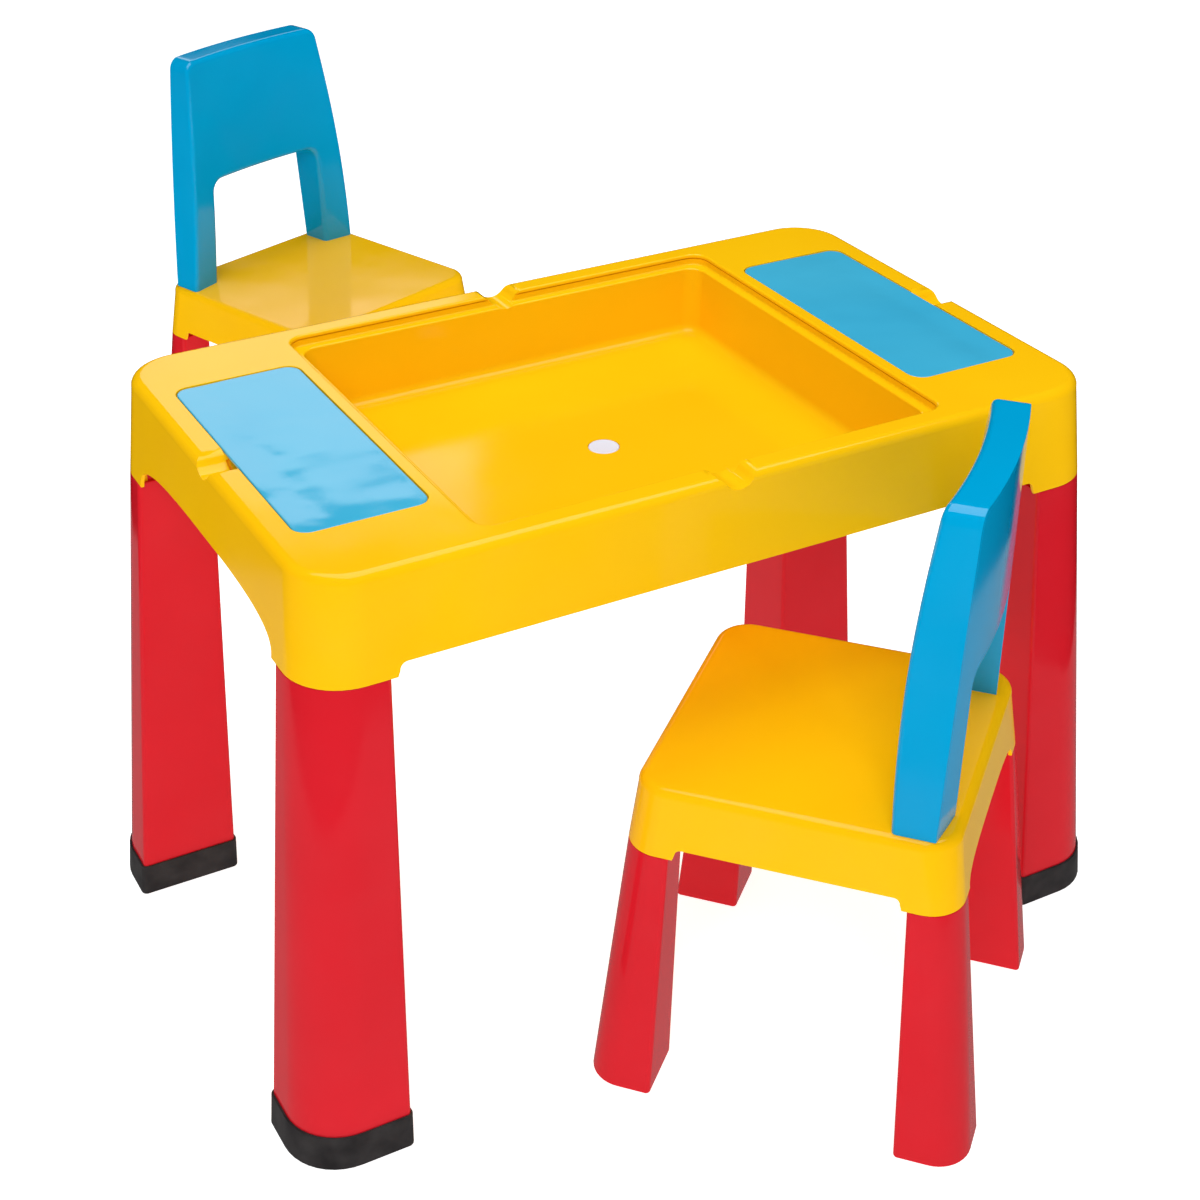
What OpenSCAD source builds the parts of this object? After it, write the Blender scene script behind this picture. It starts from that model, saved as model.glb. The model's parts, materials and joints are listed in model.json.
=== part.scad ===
// Children's play table with a sunken tray, two lift-off pocket lids and two chairs.
// Millimetres, +Z up.  The origin is on the floor under the middle of the table,
// +X runs along its long side and -Y faces the front long side.

/* [Table top] */
// Length of the deck at its top edge
deck_length = 664; // [553:1:797]
// Width of the deck at its top edge
deck_width = 404; // [336:1:485]
// Height of the deck above the floor
table_height = 489; // [407:1:587]
// Radius of the deck's corners seen from above
deck_corner = 44; // [36:1:52]
// Radius of the rounded top edge
deck_edge = 8; // [4:0.5:10]
// Thickness of the plastic in the table top
top_wall = 3; // [2:0.5:4]
// How far the short sides lean out, for each millimetre down
lean_x = 0.099; // [0.06:0.001:0.12]
// How far the long sides lean out, for each millimetre down
lean_y = 0.061; // [0.04:0.001:0.09]
// Height of the skirt along the long sides
skirt_height = 72; // [70:1:86]
// How much further down the corner blocks reach
block_drop = 11; // [6:1:14]
// Height of the arch in the short sides above the corner blocks
arch_rise = 28; // [20:1:32]

/* [Tray] */
// Width of the rim between the tray and the long edges
tray_rim = 22; // [18:1:30]
// Depth of the ledge that goes round the tray's mouth
ledge_drop = 9; // [5:1:14]
// Width of that ledge
ledge_width = 8; // [5:1:12]
// Depth of the tray below the deck
tray_depth = 66; // [55:1:68]
// Draft of the tray's walls, from the ledge to the floor
tray_draft = 4; // [1:0.5:8]
// Radius of the tray's upright corners
tray_corner = 14; // [10:1:22]
// Radius of the half-round finger notches in the rims
notch_radius = 14; // [11:1:17]
// Depth of the finger notches
notch_depth = 11; // [7:1:12]

/* [Lids and plug] */
// Width of each pocket lid
lid_width = 101; // [84:1:122]
// Distance from the ends of a lid to the long edges of the deck
lid_margin = 72; // [60:1:86]
// Width of the rim outside each lid
lid_rim = 23; // [19:1:28]
// Width of the strip between a lid and the tray
lid_strip = 11.5; // [9:0.5:15]
// Thickness of the lids
lid_thickness = 2.8; // [2.2:0.1:3.6]
// Gap all round each lid
lid_gap = 0.8; // [0.5:0.1:1.5]
// Radius of the lids' corners
lid_corner = 12; // [8:1:16]
// Width of the seat that carries each lid
lid_seat = 5; // [4:0.5:8]
// Depth of the pockets below the lids
pocket_depth = 49; // [38:1:50]
// Diameter of the drain plug's flange
plug_flange = 25; // [20:0.5:30]
// Diameter of the drain hole
drain_bore = 20; // [15:0.5:24]

/* [Table legs] */
// Leg size along the table, at the top
leg_top_x = 63; // [52:1:76]
// Leg size across the table, at the top
leg_top_y = 58; // [50:1:70]
// Leg size along the table, at the floor
leg_foot_x = 86; // [72:1:104]
// Leg size across the table, at the floor
leg_foot_y = 75; // [62:1:90]
// Thickness of the legs' walls
leg_wall = 3; // [2:0.5:4]
// Height of the spigot that plugs into the table top
spigot_height = 42; // [25:1:60]
// Height of the black foot caps
cap_height = 30; // [20:1:40]
// Thickness of a foot cap's sides
cap_wall = 1.6; // [1.2:0.1:2.5]
// Thickness of a foot cap's floor
cap_floor = 4; // [3:0.5:6]

/* [Chairs] */
// Width of the seat at its top edge
seat_width = 250; // [208:1:300]
// Depth of the seat at its top edge, front to back
seat_depth = 242; // [202:1:290]
// Height of the seat above the floor
seat_height = 280; // [233:1:336]
// Radius of the seat's corners seen from above
seat_corner = 28; // [22:1:34]
// Radius of the seat's rounded top edge
seat_edge = 8; // [4:0.5:10]
// Thickness of the plastic in the seat
seat_wall = 3; // [2:0.5:4]
// Outward lean of the sides, for each millimetre down
seat_lean_side = 0.085; // [0.05:0.005:0.11]
// Outward lean of the front
seat_lean_front = 0.1; // [0.06:0.005:0.13]
// Outward lean of the back
seat_lean_back = 0.125; // [0.08:0.005:0.15]
// Height of the skirt along the sides of the seat
seat_skirt = 48; // [42:1:56]
// How much further down the seat's corner blocks reach
seat_drop = 10; // [6:1:14]
// Height of the arches in the seat's front and back
seat_arch = 17; // [10:1:24]
// Chair leg size at the top
chair_leg_top = 38; // [32:1:44]
// Chair leg size at the floor
chair_leg_foot = 55; // [46:1:66]
// Thickness of the chair legs' walls
chair_leg_wall = 2.6; // [2:0.1:3.5]
// Height of the spigot on a chair leg
chair_spigot = 28; // [18:1:32]

/* [Backrests] */
// Distance from the backrest's sides to the seat's side edges
back_side = 6; // [3:1:12]
// Width of the posts where they meet the seat
post_width = 37; // [34:1:44]
// Height of the backrest above the seat
back_height = 250; // [208:1:300]
// How much each side draws in over the whole height, in a straight line
back_taper = 20; // [12:1:30]
// How much more each side draws in, in a curve
back_curve = 7; // [0:1:12]
// Height of the opening between the posts
opening_height = 116; // [96:1:140]
// How much the opening's sides draw in
opening_taper = 7; // [0:1:14]
// Depth of the posts at the seat
post_depth = 36; // [32:1:43]
// Thickness of the backrest at its top
top_thickness = 28; // [22:1:31]
// Radius of the backrest's curve seen from above
back_bow = 577; // [400:1:900]
// Thickness of the plastic in the backrest
back_wall = 3; // [2:0.5:4]
// Distance from the seat's back edge to the middle of the back face
back_inset = 4; // [2:0.5:8]

/* [Places of the chairs] */
// Front chair: how far its middle is to the right of the table's middle
front_chair_right = 63; // [0:1:120]
// Front chair: how far its middle is outside the deck's front edge
front_chair_out = 44; // [40:1:200]
// Front chair: how far it is turned from facing the front
front_chair_turn = -138.4; // [-180:0.1:-120]
// Rear chair: how far its middle is to the right of the table's middle
rear_chair_right = 58; // [0:1:120]
// Rear chair: how far its middle is outside the deck's back edge
rear_chair_out = 572; // [400:1:700]
// Rear chair: how far it is turned from facing the front
rear_chair_turn = 20.5; // [-30:0.5:40]

/* [Hidden] */
$fn = 48;
hair = 0.5;             // thickness of the slices that a hull joins
slip = 0.4;             // clearance of a push fit
over = 1;               // how far a cut runs past a face
big = 400;              // longer than any cut needs
rib = 2;                // thickness of the stiffening ribs
curve_steps = 14;       // straight pieces in half an arch or one curved side
corner_steps = 6;       // straight pieces in the corner of a leg
leg_edge = 3;           // radius of a leg's three small corners
lid_sink = 0.2;         // how far a lid lies below the deck
lid_air = 0.1;          // air under a lid
lid_rim_height = 5;     // height of the locating rim under a lid
lid_rim_wall = 2;       // thickness of that rim
flange_sink = 1.6;      // depth of the recess for the plug's flange
flange_proud = 0.2;     // how far the flange stands above the tray's floor
plug_length = 8;        // depth of the plug's stem below the tray's floor
plug_wall = 2.5;        // thickness of the stem
boss_wall = 5;          // width of the boss outside the plug's flange

z_skirt = table_height - skirt_height;
z_block = z_skirt - block_drop;
z_tray = table_height - tray_depth;
z_pocket = table_height - lid_thickness - pocket_depth;
lid_length = deck_width - 2 * lid_margin;
lid_out = deck_length / 2 - lid_rim;
lid_in = lid_out - lid_width;
lid_mid = (lid_out + lid_in) / 2;
tray_half_x = lid_in - lid_strip;
tray_half_y = deck_width / 2 - tray_rim;
seat_drop_z = lid_thickness + lid_sink + lid_air;   // depth of the recess that a lid lies in
leg_in_x = deck_length / 2 + lean_x * (table_height - z_block) - leg_top_x;
leg_in_y = deck_width / 2 + lean_y * (table_height - z_block) - leg_top_y;
z_socket = z_block + spigot_height + over;

zs_skirt = seat_height - seat_skirt;
zs_block = zs_skirt - seat_drop;
back_z = seat_height;
back_base_half = seat_width / 2 - back_side;    // half the backrest's width at the seat
opening_half = back_base_half - post_width;     // half the opening's width at the seat
back_y = seat_depth / 2 - back_inset;    // middle of the back face
tenon_size = [26, 13, 24];               // width, thickness and length of a post's tenon
tenon_x = (back_base_half + opening_half) / 2;
tenon_y = back_y - post_depth + 10;      // middle of the tenon, seen from the side

corners = [[-1, -1], [1, -1], [1, 1], [-1, 1]];

// ---------- shared shapes ----------

// Flat rectangle with round corners, centred
module round_rect(w, l, r) {
    square([w - 2 * r, l], center = true);
    square([w, l - 2 * r], center = true);
    for (c = corners) translate([c[0] * (w / 2 - r), c[1] * (l / 2 - r)]) circle(r);
}

// Half of a broad arch with soft shoulders, as a closed outline standing on y = 0
function arch(half, rise) = [
    for (i = [0 : 2 * curve_steps])
        let (a = 180 * i / (2 * curve_steps), c = cos(a), s = sin(a))
        [half * sign(c) * pow(abs(c), 2 / 3), rise * pow(abs(s), 2 / 3)]
];

// Points of a quarter circle round [x, y], from angle a
function quarter(x, y, r, a) = [
    for (i = [0 : corner_steps]) let (t = a + 90 * i / corner_steps) [x + r * cos(t), y + r * sin(t)]
];

// Slice of one leg at height z: a block with one broad outer corner and three small ones, shrunk by
// inset.  The outer corner is at [ox, oy] and the block reaches [w, d] back towards the middle.
module leg_slice(ox, oy, w, d, r, z, inset) {
    ri = max(leg_edge - inset, 1);
    ro = max(min(r - inset, w - 2 * inset - ri, d - 2 * inset - ri), ri);
    translate([0, 0, z]) linear_extrude(hair) polygon(concat(
        quarter(ox - inset - ro, oy - inset - ro, ro, 0),
        quarter(ox - w + inset + ri, oy - inset - ri, ri, 90),
        quarter(ox - w + inset + ri, oy - d + inset + ri, ri, 180),
        quarter(ox - inset - ri, oy - d + inset + ri, ri, 270)
    ));
}

// ---------- table ----------

function out_x(z) = deck_length / 2 + lean_x * (table_height - z);
function out_y(z) = deck_width / 2 + lean_y * (table_height - z);

// Outer form of the table top, from the bottom of the corner blocks to the deck
module top_outer() {
    hull() for (c = corners) {
        translate([c[0] * (deck_length / 2 - deck_corner), c[1] * (deck_width / 2 - deck_corner),
                   table_height - deck_edge])
            rotate_extrude() translate([deck_corner - deck_edge, 0]) circle(deck_edge, $fn = 24);
        translate([c[0] * (out_x(z_block) - deck_corner), c[1] * (out_y(z_block) - deck_corner), z_block])
            cylinder(r = deck_corner, h = hair);
    }
}

// The hollow inside it
module top_inner() {
    r = deck_corner - top_wall;
    z = table_height - top_wall - deck_edge / 2;
    hull() for (c = corners) {
        translate([c[0] * (out_x(z) - deck_corner), c[1] * (out_y(z) - deck_corner), z])
            cylinder(r1 = r, r2 = r - deck_edge / 2, h = deck_edge / 2);
        translate([c[0] * (out_x(z_block) - deck_corner), c[1] * (out_y(z_block) - deck_corner),
                   z_block - over])
            cylinder(r = r, h = hair);
    }
}

// Inner walls of the four leg sockets, and the plate that closes each one
module socket_walls() {
    for (c = corners) scale([c[0], c[1], 1]) difference() {
        translate([leg_in_x, leg_in_y, z_block]) cube([big, big, table_height - z_block - deck_edge]);
        translate([leg_in_x + top_wall, leg_in_y + top_wall, z_block - over])
            cube([big, big, z_socket - z_block + over]);
        translate([leg_in_x + top_wall, leg_in_y + top_wall, z_socket + top_wall])
            cube([big, big, big]);
    }
}

// Mouth of the tray, with the ledge; grow is how far the shape stands outside it
module tray_mouth(grow) {
    translate([0, 0, table_height - ledge_drop - grow])
        linear_extrude(ledge_drop + grow + (grow > 0 ? -deck_edge / 2 : over))
            round_rect(2 * (tray_half_x + grow), 2 * (tray_half_y + grow), tray_corner + grow);
}

// Body of the tray: its walls draw in towards a round-edged floor
module tray_well(grow) {
    top_x = tray_half_x - ledge_width + grow;
    top_y = tray_half_y - ledge_width + grow;
    soft = 7;
    r = tray_corner + grow;
    hull() for (c = corners) {
        translate([c[0] * (top_x - r), c[1] * (top_y - r), table_height - ledge_drop])
            cylinder(r = r, h = grow > 0 ? hair : ledge_drop + over);
        translate([c[0] * (top_x - tray_draft - r), c[1] * (top_y - tray_draft - r), z_tray - grow + soft])
            rotate_extrude() translate([r - soft, 0]) circle(soft, $fn = 24);
    }
}

// Recess and pocket under one lid
module pocket_cut() {
    translate([0, 0, table_height - seat_drop_z]) linear_extrude(seat_drop_z + over)
        round_rect(lid_width + 2 * lid_gap, lid_length + 2 * lid_gap, lid_corner + lid_gap);
    translate([0, 0, z_pocket]) linear_extrude(table_height - z_pocket)
        round_rect(lid_width - 2 * lid_seat, lid_length - 2 * lid_seat, lid_corner);
}

// Walls round that recess and pocket
module pocket_walls() {
    grow = 2 * top_wall;
    translate([0, 0, table_height - seat_drop_z - top_wall]) linear_extrude(top_wall + 1)
        round_rect(lid_width + 2 * lid_gap + grow, lid_length + 2 * lid_gap + grow,
                   lid_corner + lid_gap + top_wall);
    translate([0, 0, z_pocket - top_wall]) linear_extrude(pocket_depth)
        round_rect(lid_width - 2 * lid_seat + grow, lid_length - 2 * lid_seat + grow,
                   lid_corner + top_wall);
}

// Half-round bar across a rim: along +X from x0 to x1
module notch_bar(x0, x1, r) {
    translate([x0, 0, table_height + notch_radius - notch_depth])
        rotate([0, 90, 0]) cylinder(r = r, h = x1 - x0);
}

// One bar across each of the four rims
module notches(r, reach, past) {
    for (s = [0, 180]) rotate([0, 0, s]) {
        notch_bar(lid_out - reach, deck_length / 2 + past, r);
        rotate([0, 0, 90]) notch_bar(tray_half_y - reach, deck_width / 2 + past, r);
    }
}

// Ribs that stiffen the skirt against the tray and the pockets
module top_ribs() {
    z0 = z_skirt + 5;
    count = 4;
    span = 2 * (tray_half_x - 30);
    for (s = [-1, 1], i = [0 : count - 1])
        translate([-span / 2 + span * i / (count - 1) - rib / 2, s > 0 ? tray_half_y : -out_y(z0), z0])
            cube([rib, out_y(z0) - tray_half_y, table_height - deck_edge - z0]);
    for (s = [-1, 1], t = [-1, 1])
        translate([s > 0 ? lid_out - lid_seat : -out_x(z_pocket), t * lid_length / 3, z_pocket])
            cube([out_x(z_pocket) - lid_out + lid_seat, rib, table_height - deck_edge - z_pocket]);
}

// Openings in the bottom edge of the skirt; they stop short of the tray and the pockets
module skirt_cuts() {
    half = leg_in_x - 4;
    soft = 6;
    from_y = tray_half_y + top_wall;
    for (s = [0, 180]) rotate([0, 0, s]) translate([0, -from_y, 0]) rotate([90, 0, 0]) linear_extrude(big) {
        translate([-half, z_block - over]) square([2 * half, z_skirt - z_block + over - soft]);
        translate([-half + soft, z_block - over]) square([2 * half - 2 * soft, z_skirt - z_block + over]);
        for (t = [-1, 1]) translate([t * (half - soft), z_skirt - soft]) circle(soft);
    }
    from_x = lid_out + lid_gap + top_wall;
    for (s = [0, 180]) rotate([0, 0, s]) translate([from_x, 0, z_block]) rotate([90, 0, 90])
        linear_extrude(big) {
            polygon(arch(leg_in_y - 6, arch_rise));
            translate([-leg_in_y + 6, -over]) square([2 * leg_in_y - 12, over + hair]);
        }
}

// Boss and hole for the drain plug
module drain_boss() {
    translate([0, 0, z_tray - plug_length + over])
        cylinder(d = plug_flange + 2 * boss_wall, h = plug_length - over);
}
module drain_hole() {
    translate([0, 0, z_tray - plug_length - over]) cylinder(d = drain_bore, h = plug_length + 3 * over);
    translate([0, 0, z_tray - flange_sink]) cylinder(d = plug_flange + over, h = flange_sink + over);
}

module table_top() {
    color("gold") difference() {
        top_outer();
        difference() {
            top_inner();
            union() {
                socket_walls();
                top_ribs();
                tray_mouth(top_wall);
                tray_well(top_wall);
                for (s = [-1, 1]) translate([s * lid_mid, 0, 0]) pocket_walls();
                notches(notch_radius + top_wall, -lid_gap, 0);
                drain_boss();
            }
        }
        tray_mouth(0);
        tray_well(0);
        for (s = [-1, 1]) translate([s * lid_mid, 0, 0]) pocket_cut();
        notches(notch_radius, ledge_width + over, 10);
        skirt_cuts();
        drain_hole();
    }
}

// A lid: a flush plate with a locating rim under it
module pocket_lid(side) {
    rim_w = lid_width - 2 * lid_seat - 2 * slip;
    rim_l = lid_length - 2 * lid_seat - 2 * slip;
    color("deepskyblue") translate([side * lid_mid, 0, table_height - lid_sink]) {
        translate([0, 0, -lid_thickness]) linear_extrude(lid_thickness)
            round_rect(lid_width, lid_length, lid_corner);
        translate([0, 0, -lid_thickness - lid_rim_height]) linear_extrude(lid_rim_height + hair) difference() {
            round_rect(rim_w, rim_l, lid_corner - slip);
            round_rect(rim_w - 2 * lid_rim_wall, rim_l - 2 * lid_rim_wall, lid_corner - slip - lid_rim_wall);
            square([lid_width, 2 * notch_radius + 6], center = true);
        }
    }
}

// White plug: flange flush in the floor of the tray, hollow stem below
module drain_plug() {
    color("white") difference() {
        union() {
            translate([0, 0, z_tray - flange_sink]) cylinder(d = plug_flange, h = flange_sink + flange_proud);
            translate([0, 0, z_tray - plug_length]) cylinder(d = drain_bore - slip, h = plug_length - over);
        }
        translate([0, 0, z_tray - plug_length - over])
            cylinder(d = drain_bore - 2 * plug_wall, h = plug_length - over);
    }
}

// Slice of the front-right table leg at height z, mirrored for the others
module table_leg_slice(z, inset) {
    t = max(0, (z_block - z) / z_block);
    w = leg_top_x + (leg_foot_x - leg_top_x) * t + (out_x(z) - out_x(min(z, z_block)));
    d = leg_top_y + (leg_foot_y - leg_top_y) * t + (out_y(z) - out_y(min(z, z_block)));
    leg_slice(out_x(z), out_y(z), w, d, deck_corner, z, inset);
}

module table_leg(side) {
    fit = top_wall + slip;
    color("crimson") scale([side[0], side[1], 1]) difference() {
        union() {
            hull() {
                table_leg_slice(cap_floor, 0);
                table_leg_slice(z_block - hair, 0);
            }
            hull() {
                table_leg_slice(z_block - over, fit);
                table_leg_slice(z_block + spigot_height, fit);
            }
        }
        hull() {
            table_leg_slice(cap_floor - over, leg_wall);
            table_leg_slice(z_block - 2 * leg_wall, leg_wall);
        }
        hull() {
            table_leg_slice(z_block + over, fit + leg_wall);
            table_leg_slice(z_block + spigot_height + over, fit + leg_wall);
        }
    }
}

module foot_cap(side) {
    air = 0.2;
    color([0.13, 0.12, 0.12]) scale([side[0], side[1], 1]) difference() {
        hull() {
            table_leg_slice(0, -cap_wall - air);
            table_leg_slice(cap_height - hair, -cap_wall - air);
        }
        hull() {
            table_leg_slice(cap_floor, -air);
            table_leg_slice(cap_height + over, -air);
        }
    }
}

// ---------- chair, in its own frame: middle of the seat at the origin, front at -Y ----------

function side_x(z) = seat_width / 2 + seat_lean_side * (seat_height - z);
function front_y(z) = seat_depth / 2 + seat_lean_front * (seat_height - z);
function rear_y(z) = seat_depth / 2 + seat_lean_back * (seat_height - z);
function end_y(s, z) = s < 0 ? front_y(z) : rear_y(z);

seat_in = side_x(zs_block) - chair_leg_top;     // inner face of the corner blocks
function seat_in_y(s) = end_y(s, zs_block) - chair_leg_top;

module seat_outer() {
    hull() for (c = corners) {
        translate([c[0] * (seat_width / 2 - seat_corner), c[1] * (seat_depth / 2 - seat_corner),
                   seat_height - seat_edge])
            rotate_extrude() translate([seat_corner - seat_edge, 0]) circle(seat_edge, $fn = 24);
        translate([c[0] * (side_x(zs_block) - seat_corner), c[1] * (end_y(c[1], zs_block) - seat_corner),
                   zs_block])
            cylinder(r = seat_corner, h = hair);
    }
}

module seat_inner() {
    r = seat_corner - seat_wall;
    z = seat_height - seat_wall - seat_edge / 2;
    hull() for (c = corners) {
        translate([c[0] * (side_x(z) - seat_corner), c[1] * (end_y(c[1], z) - seat_corner), z])
            cylinder(r1 = r, r2 = r - seat_edge / 2, h = seat_edge / 2);
        translate([c[0] * (side_x(zs_block) - seat_corner), c[1] * (end_y(c[1], zs_block) - seat_corner),
                   zs_block - over])
            cylinder(r = r, h = hair);
    }
}

module seat_sockets() {
    shut = zs_block + chair_spigot + over;
    for (c = corners) scale([c[0], c[1], 1]) difference() {
        translate([seat_in, seat_in_y(c[1]), zs_block])
            cube([big, big, seat_height - zs_block - seat_wall]);
        translate([seat_in + seat_wall, seat_in_y(c[1]) + seat_wall, zs_block - over])
            cube([big, big, shut - zs_block + over]);
        translate([seat_in + seat_wall, seat_in_y(c[1]) + seat_wall, shut + seat_wall])
            cube([big, big, big]);
    }
}

module tenon(grow, drop) {
    for (s = [-1, 1])
        translate([s * tenon_x - tenon_size[0] / 2 - grow, tenon_y - tenon_size[1] / 2 - grow,
                   back_z - tenon_size[2] - drop])
            cube([tenon_size[0] + 2 * grow, tenon_size[1] + 2 * grow, tenon_size[2] + drop + over]);
}

module seat_cuts() {
    soft = 5;
    for (s = [-1, 1]) {
        // straight sides between the corner blocks
        half = (seat_in_y(1) + seat_in_y(-1)) / 2 - 3;
        mid = (seat_in_y(1) - seat_in_y(-1)) / 2;
        translate([s > 0 ? 0 : -big, mid, 0]) rotate([90, 0, 90]) linear_extrude(big) {
            translate([-half, zs_block - over]) square([2 * half, zs_skirt - zs_block + over - soft]);
            translate([-half + soft, zs_block - over])
                square([2 * half - 2 * soft, zs_skirt - zs_block + over]);
            for (t = [-1, 1]) translate([t * (half - soft), zs_skirt - soft]) circle(soft);
        }
    }
    translate([0, big, zs_block]) rotate([90, 0, 0]) linear_extrude(2 * big) {
        polygon(arch(seat_in - 4, seat_arch));
        translate([-seat_in + 4, -over]) square([2 * seat_in - 8, over + hair]);
    }
}

module chair_seat() {
    color("gold") difference() {
        seat_outer();
        difference() {
            seat_inner();
            union() {
                seat_sockets();
                tenon(slip + seat_wall, over);
                for (x = [-1, 0, 1])
                    translate([x * seat_in / 2 - rib / 2, -seat_depth / 2 + 12, zs_skirt + 12])
                        cube([rib, seat_depth - 24, seat_height - zs_skirt - 14]);
            }
        }
        seat_cuts();
        tenon(slip, slip);
    }
}

module chair_leg_slice(s, z, inset) {
    t = max(0, (zs_block - z) / zs_block);
    size = chair_leg_top + (chair_leg_foot - chair_leg_top) * t;
    w = size + side_x(z) - side_x(min(z, zs_block));
    d = size + end_y(s, z) - end_y(s, min(z, zs_block));
    leg_slice(side_x(z), end_y(s, z), w, d, seat_corner, z, inset);
}

// side is [x, y]: -1 or 1 for left or right, and for front or back
module chair_leg(side) {
    fit = seat_wall + slip;
    color("crimson") scale([side[0], side[1], 1]) difference() {
        union() {
            hull() {
                chair_leg_slice(side[1], 0, 0);
                chair_leg_slice(side[1], zs_block - hair, 0);
            }
            hull() {
                chair_leg_slice(side[1], zs_block - over, fit);
                chair_leg_slice(side[1], zs_block + chair_spigot, fit);
            }
        }
        hull() {
            chair_leg_slice(side[1], chair_leg_wall, chair_leg_wall);
            chair_leg_slice(side[1], zs_block - 2 * chair_leg_wall, chair_leg_wall);
        }
        hull() {
            chair_leg_slice(side[1], zs_block - 2 * chair_leg_wall - over, fit + chair_leg_wall);
            chair_leg_slice(side[1], zs_block + chair_spigot + over, fit + chair_leg_wall);
        }
    }
}

// Half width of the backrest at a share t of its height
function back_half(t) = back_base_half - back_taper * t - back_curve * t * t;

// Front view of the backrest, shrunk by inset
module back_outline(inset) {
    soft = 13;
    right = [for (i = [0 : curve_steps]) let (t = i / curve_steps) [back_half(t), back_height * t]];
    left = [for (i = [curve_steps : -1 : 0]) let (t = i / curve_steps) [-back_half(t), back_height * t]];
    offset(delta = -inset) difference() {
        union() {
            offset(r = soft) offset(delta = -soft) polygon(concat(right, left));
            translate([-back_base_half, 0]) square([2 * back_base_half, soft]);
        }
        offset(r = soft) offset(delta = -soft) polygon([
            [-opening_half, -2 * soft], [opening_half, -2 * soft],
            [opening_half - opening_taper, opening_height],
            [-opening_half + opening_taper, opening_height]
        ]);
    }
}

// Everything in front of a curved upright face: the face is shift behind the middle of the back face
module back_face(shift) {
    translate([0, back_y - back_bow + shift, back_z - over])
        cylinder(r = back_bow, h = back_height + 2 * over, $fn = 180);
}

// Everything in front of the leaning front face, shift further back
module front_face(shift) {
    lean = atan((post_depth - top_thickness) / back_height);
    translate([0, back_y - post_depth - back_bow + shift, back_z]) rotate([-lean, 0, 0])
        translate([0, 0, -2 * big]) cylinder(r = back_bow, h = 4 * big, $fn = 180);
}

module back_prism(inset) {
    translate([0, big, back_z]) rotate([90, 0, 0]) linear_extrude(2 * big) back_outline(inset);
}

module back_shell() {
    color("dodgerblue") {
        difference() {
            intersection() {
                back_prism(0);
                back_face(0);
            }
            front_face(0);
            difference() {
                back_prism(back_wall);
                front_face(back_wall);
            }
        }
        intersection() {
            tenon(0, 0);
            translate([-big, -big, 0]) cube([2 * big, 2 * big, back_z + over]);
        }
    }
}

module back_cover() {
    plate = 2.5;
    air = 0.25;
    color("dodgerblue") difference() {
        intersection() {
            back_prism(back_wall + air);
            back_face(0);
        }
        back_face(-plate);
    }
}

// ---------- places ----------

module at_front_chair() {
    translate([front_chair_right, -deck_width / 2 - front_chair_out, 0])
        rotate([0, 0, front_chair_turn]) children();
}
module at_rear_chair() {
    translate([rear_chair_right, deck_width / 2 + rear_chair_out, 0])
        rotate([0, 0, rear_chair_turn]) children();
}

table_top();
pocket_lid(-1);  // left_lid
pocket_lid(1);  // right_lid
drain_plug();
table_leg(corners[0]);  // table_leg_front_left
table_leg(corners[1]);  // table_leg_front_right
table_leg(corners[2]);  // table_leg_back_right
table_leg(corners[3]);  // table_leg_back_left
foot_cap(corners[0]);  // foot_cap_front_left
foot_cap(corners[1]);  // foot_cap_front_right
foot_cap(corners[2]);  // foot_cap_back_right
foot_cap(corners[3]);  // foot_cap_back_left
at_front_chair() chair_seat();  // front_chair_seat
at_front_chair() chair_leg(corners[0]);  // front_chair_leg_1
at_front_chair() chair_leg(corners[1]);  // front_chair_leg_2
at_front_chair() chair_leg(corners[2]);  // front_chair_leg_3
at_front_chair() chair_leg(corners[3]);  // front_chair_leg_4
at_front_chair() back_shell();  // front_chair_back_shell
at_front_chair() back_cover();  // front_chair_back_cover
at_rear_chair() chair_seat();  // rear_chair_seat
at_rear_chair() chair_leg(corners[0]);  // rear_chair_leg_1
at_rear_chair() chair_leg(corners[1]);  // rear_chair_leg_2
at_rear_chair() chair_leg(corners[2]);  // rear_chair_leg_3
at_rear_chair() chair_leg(corners[3]);  // rear_chair_leg_4
at_rear_chair() back_shell();  // rear_chair_back_shell
at_rear_chair() back_cover();  // rear_chair_back_cover
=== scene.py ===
# %% [markdown]
# # A child's play table and two chairs
# The set is moulded plastic: a yellow table top with a sunken tray, four flared red legs in black
# foot caps, two light blue lids, a white drain plug, and two chairs with blue backrests.
# The CAD model says where every piece is.  Here each one gets its finished surface: true rounds
# where the mould had them, even wall thickness, and a glossy plastic that is never quite flat.

# %% Load the frame
import json
import math

import bmesh
import bpy
from mathutils import Matrix, Vector, noise


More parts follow.
